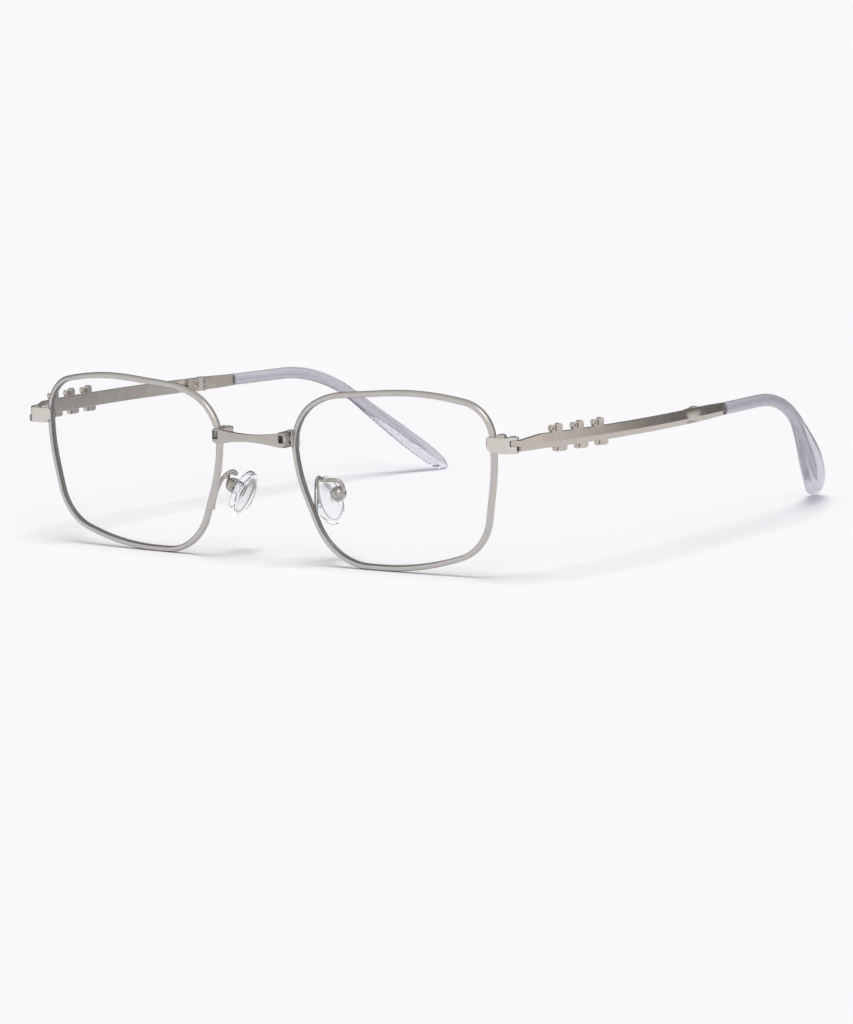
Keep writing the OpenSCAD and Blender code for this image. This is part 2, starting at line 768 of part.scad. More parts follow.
// Link: the metal start of the rear half, tapered down to the tip
link_end = link_start + link_len;
module temple_link(side) {
    color(metal) on(side) rear_frame() difference() {
        skin([
            for (q = [[link_start, temple_h], [link_start + link_len * 0.35, temple_h * 0.97], [link_end, link_end_h]])
                [for (s = temple_section(q[1], temple_t)) [s[0], q[0], s[1]]],
        ]);
        // Slot for the core
        translate([tip_mid - core_t / 2 - bore_fit, link_end - core_root, -core_h / 2 - bore_fit])
            cube([core_t + 2 * bore_fit, 2 * core_root, core_h + 2 * bore_fit]);
    }
}
core_root = 2.5;
tip_mid = -temple_t / 2 - 0.05;

// Centre line of a tip in the rear frame. It ends where the tip meets the table.
bend_angle = tip_drop - pitch;
tip_arc = tip_bend_r * bend_angle * PI / 180;
tip_arc_back = tip_straight + tip_bend_r * sin(bend_angle);
tip_arc_down = tip_bend_r * (1 - cos(bend_angle));
rear_slope = sin(pitch) * cos(flare - bow_angle(bow_len));
tip_arc_z = rear_point([0, link_end + tip_arc_back, -tip_arc_down])[2];
tip_end_z = 0.2;
tip_last = (tip_arc_z - tip_end_z) / (sin(bend_angle) * cos(pitch) + cos(bend_angle) * rear_slope);
tip_len = tip_straight + tip_arc + tip_last;

function tip_angle(s) = min(bend_angle, max(0, (s - tip_straight) / tip_bend_r * 180 / PI));
function tip_back(s) = s <= tip_straight ? s
    : s <= tip_straight + tip_arc ? tip_straight + tip_bend_r * sin(tip_angle(s))
    : tip_arc_back + (s - tip_straight - tip_arc) * cos(bend_angle);
function tip_down(s) = s <= tip_straight ? 0
    : s <= tip_straight + tip_arc ? tip_bend_r * (1 - cos(tip_angle(s)))
    : tip_arc_down + (s - tip_straight - tip_arc) * sin(bend_angle);
toe_start = 18;
function tip_in(s) = tip_toe * pow(max(0, s - toe_start) / (tip_len - toe_start), 2);

// Ring of an oval round the centre line, half_h high and half_t thick
ring_sides = 12;
function tip_ring(s, half_h, half_t) =
    let (
        w = tip_angle(s),
        lean_out = tip_twist * soft_step(s / twist_full),
        c = [tip_mid - tip_in(s), link_end + tip_back(s), -tip_down(s)]
    )
    [for (j = [0:ring_sides - 1])
        let (
            a = -j * 360 / ring_sides,
            x1 = half_t * sign(cos(a)) * pow(abs(cos(a)), 0.8),
            h1 = half_h * sign(sin(a)) * pow(abs(sin(a)), 0.8),
            x = x1 * cos(lean_out) + h1 * sin(lean_out),
            h = h1 * cos(lean_out) - x1 * sin(lean_out)
        )
        c + [x, h * sin(w), h * cos(w)]];

tip_steps = 24;
core_steps = 14;
core_len = tip_len - core_short;
function core_half_h(s) = core_h / 2 * (s < core_len - 4 ? 1 : sqrt(max(0.02, 1 - pow((s - core_len + 4) / 4.02, 2))));
// Height and thickness of a tip: it swells into a blade, which runs to a blunt point
swell_start = 37;
twist_full = 48;
function soft_step(t) = t <= 0 ? 0 : t >= 1 ? 1 : t * t * (3 - 2 * t);
function blade_end(s) = 1 - pow(max(0, s - tip_len + blade_len) / blade_len, 2.2);
function tip_half_h(s) =
    (tip_h + (tip_end_h - tip_h) * soft_step((s - swell_start) / (tip_len - blade_len - swell_start))) / 2
        * blade_end(s);
function tip_half_t(s) = tip_t / 2 * sqrt(1 - pow(max(0, s - tip_len + round_len) / round_len, 2));
round_len = 3;
round_steps = 7;
tip_rings = concat(
    [for (i = [0:tip_steps]) let (s = (tip_len - round_len) * i / tip_steps) tip_ring(s, tip_half_h(s), tip_half_t(s))],
    [for (i = [1:round_steps])
        let (s = tip_len - round_len + round_len * sin(82 * i / round_steps))
        tip_ring(s, max(tip_half_h(s), 0.8 * tip_half_t(s)), tip_half_t(s))]);
// Rings of the core, and of the hole that holds it
function core_rings(play) =
    [for (i = [0:core_steps])
        let (s = core_len * i / core_steps)
        tip_ring(s, core_half_h(s) + play, core_t / 2 + play)];

module core_wire(side) {
    color(dark_metal) on(side) rear_frame() {
        skin(core_rings(0));
        translate([tip_mid - core_t / 2, link_end - core_root, -core_h / 2])
            cube([core_t, core_root + eps, core_h]);
    }
}

module temple_tip(side) {
    hole = core_rings(lens_play);
    color(clear_tint) on(side) rear_frame()
        skin(concat([for (i = [len(hole) - 1:-1:0]) hole[i]], tip_rings));
}

pad_turn = [-9.7, -21.5, -3.4];
// Frame of a nose pad: Z along the pad, X out from the nose, Y across the pad
module pad_frame() {
    translate([pad_x, pad_y, pad_z])
        rotate(pad_turn)
            children();
}

// Pivot of a pad behind its middle, in the pad's frame
pivot_x = 2.8;
pivot_z = 0.6;
stud_w = 1;
stud_r = 0.85;
pad_screw_r = 0.35;
pad_sides = 24;
// Height of the pad's face and back over its outline, as shares of its half sizes
pad_layers = [
    [0.15, -0.5], [0.55, -0.46], [0.84, -0.33], [0.97, -0.1],
    [1, 0.1], [0.9, 0.33], [0.6, 0.42], [0.2, 0.44],
];
module nose_pad(side) {
    color(clear_tint) on(side) pad_frame() difference() {
        union() {
            skin([for (q = pad_layers)
                [for (j = [0:pad_sides - 1])
                    let (a = j * 360 / pad_sides)
                    [q[1] * pad_t, q[0] * pad_w / 2 * cos(a), q[0] * pad_len / 2 * sin(a) * (1 - 0.06 * sin(a))]]]);
            translate([pad_t * 0.3, -stud_w / 2, pivot_z - stud_r])
                cube([pivot_x - pad_t * 0.3, stud_w, 2 * stud_r]);
            translate([pivot_x, 0, pivot_z]) rotate([90, 0, 0])
                cylinder(r = stud_r, h = stud_w, center = true);
        }
        translate([pivot_x, 0, pivot_z]) rotate([90, 0, 0])
            cylinder(r = pad_screw_r + screw_play, h = 2 * stud_w, center = true);
    }
}

// Box: a cup open towards the pad, with a cheek on each side of the stud
cheek_t = 0.4;
cheek_gap = 0.08;
box_w = stud_w + 2 * cheek_gap + 2 * cheek_t;
box_front = pivot_x - 0.8;
box_back = pivot_x + stud_r + 0.15;
module pad_box(side) {
    color(metal) on(side) pad_frame() difference() {
        translate([box_front, -box_w / 2, pivot_z - 1.15])
            cube([box_back + cheek_t - box_front, box_w, 2.3]);
        translate([box_front - 1, -stud_w / 2 - cheek_gap, pivot_z - 2])
            cube([box_back - box_front + 1, stud_w + 2 * cheek_gap, 4]);
        translate([pivot_x, 0, pivot_z]) rotate([90, 0, 0])
            cylinder(r = pad_screw_r + bore_fit, h = 2 * box_w, center = true);
    }
}

module pad_screw(side) {
    color(dark_metal) on(side) pad_frame()
        translate([pivot_x, 0, pivot_z]) rotate([90, 0, 0]) {
            cylinder(r = pad_screw_r, h = box_w, center = true);
            translate([0, 0, box_w / 2]) cylinder(r = pad_screw_r * 1.6, h = 0.25);
        }
}

// Pad arm: a bent wire from the back of the rim, up through a loop, to the box
function turn_x(p, a) = [p[0], p[1] * cos(a) - p[2] * sin(a), p[1] * sin(a) + p[2] * cos(a)];
function turn_y(p, a) = [p[0] * cos(a) + p[2] * sin(a), p[1], -p[0] * sin(a) + p[2] * cos(a)];
function turn_z(p, a) = [p[0] * cos(a) - p[1] * sin(a), p[0] * sin(a) + p[1] * cos(a), p[2]];
function pad_point(p) = [pad_x, pad_y, pad_z] + turn_z(turn_y(turn_x(p, pad_turn[0]), pad_turn[1]), pad_turn[2]);

foot_v = 10.9 - eye_z;
foot = eye_point(-eye_w / 2 * 0.843, foot_v, rim_d / 2);
foot_lean = 22;
arm_end = pad_point([box_back + cheek_t + 0.1, 0, pivot_z + 0.2]);
arm_stops = [
    foot + [-0.1, 0.1, -1.2],
    foot + [-0.15, 0.35, 0.2],
    foot + [-0.5, 0.9, 1.9],
    foot + [-1.5, 2, 4.4],
    foot + [-2.4, 3.3, 6.5],
    foot + [-2.5, 4.5, 7.2],
    foot + [-1.7, 5.5, 6.9],
    arm_end + [-1, -0.7, 2],
    arm_end + [-0.05, -0.1, 0.8],
    arm_end + [0, 0, -0.6],
];
arm_fine = 3;
// Smooth curve through the stops
function through(ps, i, t) =
    let (
        n = len(ps),
        p0 = ps[max(0, i - 1)],
        p1 = ps[i],
        p2 = ps[min(n - 1, i + 1)],
        p3 = ps[min(n - 1, i + 2)]
    )
    0.5 * (2 * p1 + (p2 - p0) * t + (2 * p0 - 5 * p1 + 4 * p2 - p3) * t * t
        + (3 * p1 - p0 - 3 * p2 + p3) * t * t * t);
arm_line = concat(
    [for (i = [0:len(arm_stops) - 2], j = [0:arm_fine - 1]) through(arm_stops, i, j / arm_fine)],
    [arm_stops[len(arm_stops) - 1]]);
wire_sides = 8;
function wire_ring(ps, i, r) =
    let (
        along_it = unit(ps[min(len(ps) - 1, i + 1)] - ps[max(0, i - 1)]),
        a = unit(cross(along_it, [0.94, -0.34, 0])),
        b = cross(along_it, a)
    )
    [for (j = [0:wire_sides - 1]) let (w = j * 360 / wire_sides) ps[i] + r * (cos(w) * a + sin(w) * b)];

module pad_arm(side) {
    color(metal) on(side) {
        skin([for (i = [0:len(arm_line) - 1]) wire_ring(arm_line, i, arm_r)]);
        // Foot on the back of the rim, along its wire
        translate(foot + [0, 0.15, 0]) rotate([0, -foot_lean, 0])
            cube([0.8, 0.5, 2.6], center = true);
    }
}

// The object stands centred over the origin, from the bridge to the ends of the tips
tip_far = rear_point([tip_mid - tip_toe, link_end + tip_back(tip_len), -tip_down(tip_len)])[1];
mid_y = (tip_far + bridge_front) / 2;

bridge_bar();
bridge_screw(1);  // bridge_screw_left
bridge_screw(-1);  // bridge_screw_right
rim(1);  // rim_left
rim(-1);  // rim_right
lens(1);  // lens_left
lens(-1);  // lens_right
bridge_lug(1);  // bridge_lug_left
bridge_lug(-1);  // bridge_lug_right
end_piece(1);  // end_piece_left
end_piece(-1);  // end_piece_right
rim_lock(1);  // rim_lock_left
rim_lock(-1);  // rim_lock_right
rim_lock_screw(1);  // rim_lock_screw_left
rim_lock_screw(-1);  // rim_lock_screw_right
temple_screw(1);  // temple_screw_left
temple_screw(-1);  // temple_screw_right
pad_arm(1);  // pad_arm_left
pad_arm(-1);  // pad_arm_right
pad_box(1);  // pad_box_left
pad_box(-1);  // pad_box_right
pad_screw(1);  // pad_screw_left
pad_screw(-1);  // pad_screw_right
nose_pad(1);  // nose_pad_left
nose_pad(-1);  // nose_pad_right
temple_neck(1);  // temple_neck_left
temple_neck(-1);  // temple_neck_right
temple_bar(1);  // temple_bar_left
temple_bar(-1);  // temple_bar_right
fold_block(1);  // fold_block_left
fold_block(-1);  // fold_block_right
fold_screw(1);  // fold_screw_left
fold_screw(-1);  // fold_screw_right
fold_leaf(1);  // fold_leaf_left
fold_leaf(-1);  // fold_leaf_right
temple_link(1);  // temple_link_left
temple_link(-1);  // temple_link_right
core_wire(1);  // core_wire_left
core_wire(-1);  // core_wire_right
temple_tip(1);  // temple_tip_left
temple_tip(-1);  // temple_tip_right
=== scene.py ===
"""Folding eyeglasses: finishes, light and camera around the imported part."""
import json
import math

import bmesh
import bpy
from mathutils import Matrix, Vector

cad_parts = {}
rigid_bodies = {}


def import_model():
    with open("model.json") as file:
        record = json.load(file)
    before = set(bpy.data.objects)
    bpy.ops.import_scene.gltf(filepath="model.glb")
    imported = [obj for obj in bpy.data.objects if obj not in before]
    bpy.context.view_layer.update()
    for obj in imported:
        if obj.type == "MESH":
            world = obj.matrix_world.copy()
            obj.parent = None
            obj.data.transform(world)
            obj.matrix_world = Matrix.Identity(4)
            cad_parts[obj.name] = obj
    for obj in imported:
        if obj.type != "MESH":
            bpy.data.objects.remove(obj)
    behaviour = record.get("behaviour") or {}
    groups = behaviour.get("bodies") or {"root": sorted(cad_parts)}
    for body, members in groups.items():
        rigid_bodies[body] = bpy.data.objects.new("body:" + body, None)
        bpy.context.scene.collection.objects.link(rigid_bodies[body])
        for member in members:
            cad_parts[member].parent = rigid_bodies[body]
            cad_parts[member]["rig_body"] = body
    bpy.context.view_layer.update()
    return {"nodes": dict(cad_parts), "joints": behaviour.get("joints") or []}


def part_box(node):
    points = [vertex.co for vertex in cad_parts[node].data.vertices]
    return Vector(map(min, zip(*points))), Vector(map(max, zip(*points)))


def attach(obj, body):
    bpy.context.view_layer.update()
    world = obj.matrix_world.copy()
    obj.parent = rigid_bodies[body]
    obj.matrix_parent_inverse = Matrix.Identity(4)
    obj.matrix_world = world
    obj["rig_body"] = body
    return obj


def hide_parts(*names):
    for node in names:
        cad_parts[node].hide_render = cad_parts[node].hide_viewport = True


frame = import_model()
parts = frame["nodes"]
scene = bpy.context.scene
scene.view_settings.view_transform = "Standard"


# Camera
def aim_camera():
    """Stands where the photograph was taken: 36 degrees to the wearer's left of straight ahead, 8 degrees up."""
    az, el, roll = math.radians(36.0), math.radians(8.0613), math.radians(-1.298)
    d = Vector((-math.sin(az) * math.cos(el), math.cos(az) * math.cos(el), -math.sin(el)))
    r = d.cross(Vector((0, 0, 1))).normalized()
    u = r.cross(d)
    c, s = math.cos(roll), math.sin(roll)
    right, up = c * r + s * u, c * u - s * r
    place = Matrix((right, up, -d)).transposed().to_4x4()
    place.translation = Vector((0.567994, -0.790229, 0.139665))
    data = bpy.data.cameras.new("camera")
    data.sensor_fit = "AUTO"
    data.sensor_width = 36.0
    data.lens = 158.203
    data.clip_start, data.clip_end = 0.05, 60.0
    cam = bpy.data.objects.new("camera", data)
    cam.matrix_world = place
    scene.collection.objects.link(cam)
    scene.camera = cam


aim_camera()


# Node helpers
class Tree:
    """A short way to write a material's or a world's nodes."""

    def __init__(self, owner):
        owner.use_nodes = True
        self.tree = owner.node_tree
        self.tree.nodes.clear()

    def add(self, kind, label="", **values):
        n = self.tree.nodes.new(kind)
        if label:
            n.label = label
        for k, v in values.items():
            setattr(n, k, v)
        return n

    def link(self, a, b):
        self.tree.links.new(a, b)

    def math(self, op, a, b=None, c=None, clamp=False):
        n = self.add("ShaderNodeMath", operation=op, use_clamp=clamp)
        for i, v in enumerate((a, b, c)):
            if v is None:
                continue
            if isinstance(v, (int, float)):
                n.inputs[i].default_value = v
            else:
                self.link(v, n.inputs[i])
        return n.outputs[0]

    def remap(self, value, low, high, to_low, to_high):
        n = self.add("ShaderNodeMapRange")
        self.link(value, n.inputs["Value"])
        for name, v in (("From Min", low), ("From Max", high), ("To Min", to_low), ("To Max", to_high)):
            n.inputs[name].default_value = v
        return n.outputs["Result"]

    def mix(self, factor, a, b):
        n = self.add("ShaderNodeMix", data_type="RGBA")
        for socket, v in ((n.inputs[0], factor), (n.inputs[6], a), (n.inputs[7], b)):
            if isinstance(v, (int, float)):
                socket.default_value = v
            elif isinstance(v, tuple):
                socket.default_value = (*v, 1.0)
            else:
                self.link(v, socket)
        return n.outputs[2]

    def noise(self, where, stretch, scale, detail=2.0, rough=0.5):
        """Noise in the part's own metres: scale is cells per metre, stretch slows it along an axis."""
        m = self.add("ShaderNodeMapping")
        m.inputs["Scale"].default_value = tuple(scale * s for s in stretch)
        self.link(where, m.inputs["Vector"])
        n = self.add("ShaderNodeTexNoise")
        n.inputs["Scale"].default_value = 1.0
        n.inputs["Detail"].default_value = detail
        n.inputs["Roughness"].default_value = rough
        self.link(m.outputs[0], n.inputs["Vector"])
        return n.outputs[0]


def metal(name, colour, worn, rough, streak, depth, edge=0.00012):
    """Plated metal: brushed along its length, lighter and smoother where edges are handled."""
    mat = bpy.data.materials.new(name)
    t = Tree(mat)
    where = t.add("ShaderNodeTexCoord").outputs["Object"]
    brush = t.noise(where, streak, 7000.0, 3.0, 0.6)
    cloud = t.noise(where, (1, 1, 1), 420.0, 3.0, 0.55)
    grit = t.noise(where, (1, 1, 1), 9000.0, 1.0, 0.5)
    bevel = t.add("ShaderNodeBevel", samples=6)
    bevel.inputs["Radius"].default_value = edge
    geo = t.add("ShaderNodeNewGeometry")
    dot = t.add("ShaderNodeVectorMath", operation="DOT_PRODUCT")
    t.link(bevel.outputs[0], dot.inputs[0])
    t.link(geo.outputs["Normal"], dot.inputs[1])
    rub = t.remap(dot.outputs["Value"], 0.995, 0.86, 0.0, 1.0)
    rub = t.math("MULTIPLY", rub, t.remap(cloud, 0.35, 0.65, 0.6, 1.0), clamp=True)
    shade = t.mix(t.remap(cloud, 0.3, 0.7, 0.0, 1.0), tuple(c * 0.96 for c in colour), colour)
    shade = t.mix(t.remap(brush, 0.25, 0.75, 0.0, 0.1), shade, tuple(c * 0.72 for c in colour))
    shade = t.mix(t.math("MULTIPLY", rub, 0.35), shade, worn)
    r = t.math("ADD", t.remap(brush, 0.25, 0.75, rough - 0.03, rough + 0.04), t.remap(cloud, 0.3, 0.7, -0.02, 0.02))
    r = t.math("SUBTRACT", r, t.math("MULTIPLY", rub, 0.08), clamp=True)
    lift = t.math("ADD", t.math("MULTIPLY", brush, 0.95), t.math("MULTIPLY", grit, 0.05))
    bump = t.add("ShaderNodeBump")
    bump.inputs["Strength"].default_value = depth
    bump.inputs["Distance"].default_value = 0.00002
    t.link(lift, bump.inputs["Height"])
    t.link(bevel.outputs[0], bump.inputs["Normal"])
    p = t.add("ShaderNodeBsdfPrincipled")
    p.inputs["Metallic"].default_value = 1.0
    t.link(shade, p.inputs["Base Color"])
    t.link(r, p.inputs["Roughness"])
    t.link(bump.outputs[0], p.inputs["Normal"])
    out = t.add("ShaderNodeOutputMaterial")
    t.link(p.outputs[0], out.inputs["Surface"])
    return mat


def thin_glass(name, tint):
    """A lens with no power: each face lets the light straight through and mirrors a little, more at a slant."""
    mat = bpy.data.materials.new(name)
    t = Tree(mat)
    where = t.add("ShaderNodeTexCoord").outputs["Object"]
    smear = t.noise(where, (1, 1, 1), 190.0, 4.0, 0.6)
    facing = t.add("ShaderNodeLayerWeight").outputs["Facing"]
    mirror = t.math("MULTIPLY_ADD", t.math("POWER", facing, 5.0), 0.45, 0.012)
    gloss = t.add("ShaderNodeBsdfGlossy")
    gloss.inputs["Color"].default_value = (0.96, 0.98, 1.0, 1.0)
    t.link(t.remap(smear, 0.35, 0.7, 0.0, 0.06), gloss.inputs["Roughness"])
    through = t.add("ShaderNodeBsdfTransparent")
    through.inputs["Color"].default_value = (*tint, 1.0)
    both = t.add("ShaderNodeMixShader")
    t.link(mirror, both.inputs[0])
    t.link(through.outputs[0], both.inputs[1])
    t.link(gloss.outputs[0], both.inputs[2])
    out = t.add("ShaderNodeOutputMaterial")
    t.link(both.outputs[0], out.inputs["Surface"])
    return mat


def clear(name, colour, shadow, ior, low, high, depth, streak=(1, 1, 1), edge=0.0, body=0.0):
    """Clear plastic or glass that lets lamps through: its shadow is only a tint."""
    mat = bpy.data.materials.new(name)
    t = Tree(mat)
    where = t.add("ShaderNodeTexCoord").outputs["Object"]
    smear = t.noise(where, streak, 260.0, 4.0, 0.6)
    wave = t.noise(where, streak, 900.0, 2.0, 0.5)
    p = t.add("ShaderNodeBsdfPrincipled")
    p.inputs["Transmission Weight"].default_value = 1.0 - body
    p.inputs["IOR"].default_value = ior
    pale = tuple(1 - (1 - c) * 0.72 for c in colour)
    t.link(t.mix(t.remap(smear, 0.35, 0.65, 0.0, 1.0), colour, pale), p.inputs["Base Color"])
    t.link(t.remap(smear, 0.35, 0.7, low, high), p.inputs["Roughness"])
    bump = t.add("ShaderNodeBump")
    bump.inputs["Strength"].default_value = depth
    bump.inputs["Distance"].default_value = 0.00004
    t.link(wave, bump.inputs["Height"])
    if edge:
        bevel = t.add("ShaderNodeBevel", samples=6)
        bevel.inputs["Radius"].default_value = edge
        t.link(bevel.outputs[0], bump.inputs["Normal"])
    t.link(bump.outputs[0], p.inputs["Normal"])
    through = t.add("ShaderNodeBsdfTransparent")
    through.inputs["Color"].default_value = (*shadow, 1.0)
    path = t.add("ShaderNodeLightPath")
    lamps = t.math("MAXIMUM", path.outputs["Is Shadow Ray"], path.outputs["Is Diffuse Ray"])
    both = t.add("ShaderNodeMixShader")
    t.link(lamps, both.inputs[0])
    t.link(p.outputs[0], both.inputs[1])
    t.link(through.outputs[0], both.inputs[2])
    out = t.add("ShaderNodeOutputMaterial")
    t.link(both.outputs[0], out.inputs["Surface"])
    return mat


# Finishes
NICKEL, BRIGHT = (0.565, 0.52, 0.475), (0.80, 0.78, 0.75)
along = metal("nickel_temple", NICKEL, BRIGHT, 0.25, (1, 0.02, 1), 0.06, 0.00012)
wire = metal("nickel_wire", (0.555, 0.53, 0.505), BRIGHT, 0.23, (0.5, 0.5, 0.5), 0.05)
# The eyewires' inner walls and grooves: a dark metal that is painted shade
groove = metal("nickel_groove", (0.20, 0.195, 0.19), (0.3, 0.29, 0.28), 0.3, (0.5, 0.5, 0.5), 0.08)
bridge = metal("nickel_bridge", (0.50, 0.47, 0.44), BRIGHT, 0.2, (0.03, 1, 1), 0.14, 0.0005)
block = metal("nickel_block", (0.67, 0.64, 0.605), BRIGHT, 0.18, (0.6, 0.6, 0.6), 0.1, 0.0003)
fitting = metal("nickel_fitting", (0.46, 0.44, 0.415), BRIGHT, 0.13, (0.5, 0.5, 0.5), 0.06, 0.0002)
steel = metal("screw_steel", (0.50, 0.485, 0.47), (0.74, 0.72, 0.70), 0.30, (0.7, 0.7, 0.7), 0.2, 0.00006)
core = metal("core_steel", (0.74, 0.73, 0.76), (0.85, 0.85, 0.87), 0.34, (1, 0.05, 1), 0.3, 0.00008)
glass = thin_glass("lens_clear", (0.9975, 0.998, 0.999))
acetate = clear("acetate_clear", (0.85, 0.835, 0.905), (0.60, 0.59, 0.655), 1.47, 0.03, 0.09, 0.12,
                (1, 0.12, 0.6), 0.0001, 0.11)
silicone = clear("pad_clear", (0.93, 0.95, 0.965), (0.80, 0.81, 0.83), 1.43, 0.04, 0.12, 0.12, edge=0.00015)

FINISH = {
    "bridge_bar": bridge, "rim": wire, "lens": glass, "bridge_lug": block, "bridge_screw": steel,
    "end_piece": block, "rim_lock": block, "rim_lock_screw": steel, "temple_screw": steel,
    "pad_arm": wire, "pad_box": block, "pad_screw": steel, "nose_pad": silicone,
    "temple_neck": along, "temple_bar": along, "fold_block": along, "fold_screw": steel,
    "fold_leaf": along, "temple_link": along, "core_wire": core, "temple_tip": acetate,
}


# Corners sharper than this many degrees stay crisp; 30 where no other is given
SMOOTH_ANGLE = {"core_wire": 50, "temple_neck": 20, "temple_bar": 20, "fold_block": 8, "fold_leaf": 8, "temple_link": 8}


def smoother():
    """A node group that joins split corners and shades smooth, apart from edges sharper than its angle."""
    group = bpy.data.node_groups.new("smooth_by_angle", "GeometryNodeTree")
    face = group.interface
    face.new_socket("Geometry", in_out="INPUT", socket_type="NodeSocketGeometry")
    face.new_socket("Angle", in_out="INPUT", socket_type="NodeSocketFloat")
    face.new_socket("Geometry", in_out="OUTPUT", socket_type="NodeSocketGeometry")
    add = group.nodes.new
    link = group.links.new
    start, end = add("NodeGroupInput"), add("NodeGroupOutput")
    merge = add("GeometryNodeMergeByDistance")
    merge.inputs["Distance"].default_value = 0.000002
    angle = add("GeometryNodeInputMeshEdgeAngle")
    below = add("FunctionNodeCompare")
    below.data_type, below.operation = "FLOAT", "LESS_THAN"
    faces, edges = add("GeometryNodeSetShadeSmooth"), add("GeometryNodeSetShadeSmooth")
    edges.domain = "EDGE"
    link(start.outputs[0], merge.inputs[0])
    link(merge.outputs[0], faces.inputs[0])
    link(faces.outputs[0], edges.inputs[0])
    link(angle.outputs[0], below.inputs[0])
    link(start.outputs[1], below.inputs[1])
    link(below.outputs[0], edges.inputs["Shade Smooth"])
    link(edges.outputs[0], end.inputs[0])
    return group


SMOOTH = smoother()


def shade(ob, degrees):
    """Smooth shading up to an angle, by a modifier that moves no point."""
    if "custom_normal" in ob.data.attributes:
        ob.data.attributes.remove(ob.data.attributes["custom_normal"])
    mod = ob.modifiers.new("smooth", "NODES")
    mod.node_group = SMOOTH
    socket = [i.identifier for i in SMOOTH.interface.items_tree if i.name == "Angle"][0]
    mod[socket] = math.radians(degrees)




# Eyewires and lenses, in millimetres in the frame of the left eye
EYE_W, EYE_H, EYE_GAP = 47.95, 36.3, 19.75
WRAP, LEAN, BASE_R = math.radians(3.2), math.radians(3.9), 220.0
RIM_W, RIM_D, GROOVE_W, GROOVE_D, LENS_T = 1.14, 1.4, 0.7, 0.4, 1.9
RIM_CUT, OPEN_Z = 0.3, 27.3
EYE_X = EYE_GAP / 2 + EYE_W / 2 * math.cos(WRAP)
EYE_Z = EYE_H / 2 * math.cos(LEAN) + 0.6
# Each corner of the opening: shares of its half width and half height, and its radius
EYE_CORNERS = (
    (0.974, 0.861, 7.7), (0.346, 1.030, 64.5), (-0.622, 0.923, 17.9), (-1.027, 0.651, 10.7),
    (-0.978, -0.027, 32.6), (-0.668, -1.005, 13.0), (0.190, -1.012, 62.0), (0.877, -0.738, 10.5),
    (1.013, 0.238, 41.0),
)
STEP = math.radians(2.0)


def eye_outline():
    """Points of the opening with their outward directions, anticlockwise as seen by the wearer's back."""
    corners = [Vector((x * EYE_W / 2, z * EYE_H / 2)) for x, z, _ in EYE_CORNERS]
    line = []
    for i, p in enumerate(corners):
        radius = EYE_CORNERS[i][2]
        a = (corners[i - 1] - p).normalized()
        b = (corners[(i + 1) % len(corners)] - p).normalized()
        half = math.acos(a.dot(b)) / 2
        middle = p + (a + b).normalized() * radius / math.sin(half)
        start = p + a * radius / math.tan(half) - middle
        end = p + b * radius / math.tan(half) - middle
        w0, w1 = math.atan2(start.y, start.x), math.atan2(end.y, end.x)
        turn = (w1 - w0) % (2 * math.pi)
        count = max(4, round(turn / STEP))
        for j in range(count + 1):
            w = w0 + turn * j / count
            out = Vector((math.cos(w), math.sin(w)))
            line.append((middle + out * radius, out))
    return line


def even(line, gap):
    """Extra points along the straight stretches, so that no step is longer than gap."""
    full = []
    for (p, n), (q, m) in zip(line, line[1:] + line[:1]):
        full.append((p, n))
        extra = int((q - p).length / gap)
        full += [(p.lerp(q, k / (extra + 1)), n.lerp(m, k / (extra + 1)).normalized()) for k in range(1, extra + 1)]
    return full


OUTLINE = even(eye_outline(), 0.8)


def sag(p):
    return p.length_squared / (2 * BASE_R)


def arc(x, y, radius, start, end, count):
    """Points on an arc of a section, by angles in degrees."""
    angles = [math.radians(start + (end - start) * i / count) for i in range(count + 1)]
    return [(x + radius * math.cos(w), y + radius * math.sin(w)) for w in angles]


def rim_section():
    """The wire's section, outwards and backwards from its middle: a flat front, a rounded outside, a groove inside."""
    w, d, soft, inner, crisp = RIM_W / 2, RIM_D / 2, 0.5, 0.3, 0.1
    return (
        arc(w - soft, -d + soft, soft, -90, 0, 6) + arc(w - soft, d - soft, soft, 0, 90, 6)
        + arc(-w + crisp, d - crisp, crisp, 90, 180, 2)
        + [(-w, GROOVE_W / 2), (-w + GROOVE_D, 0), (-w, -GROOVE_W / 2)]
        + arc(-w + inner, -d + inner, inner, 180, 270, 4)
    )


def loft(name, rings, closed, caps):
    """A skin over rings of equal counts, in millimetres in the frame of the left eye."""
    n, m = len(rings), len(rings[0])
    points = [p for ring in rings for p in ring]
    faces = []
    for i in range(n if closed else n - 1):
        for j in range(m):
            k, h = (i + 1) % n, (j + 1) % m
            faces.append((i * m + j, k * m + j, k * m + h, i * m + h))
    if caps:
        faces += [tuple(range(m)), tuple(range((n - 1) * m, n * m))]
    mesh = bpy.data.meshes.new(name)
    mesh.from_pydata(points, [], faces)
    return mesh


# The faces of the section that look at the lens, its inner wall and its groove, which take a darker metal as painted
# shade
PAINTED_SHADE_FACES = range(16, 22)
EYE_TURN = Matrix.Rotation(WRAP, 4, "Z") @ Matrix.Rotation(LEAN, 4, "X")


def eye_place():
    """The left eye's frame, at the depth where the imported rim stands."""
    low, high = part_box("rim_left")
    rough = Matrix.Translation((EYE_X, 0, EYE_Z)) @ EYE_TURN
    depths = [(rough @ Vector(p)).y for ring in rim_rings() for p in ring]
    middle = (low.y + high.y) * 500
    return Matrix.Translation((0, middle - (min(depths) + max(depths)) / 2, 0)) @ rough


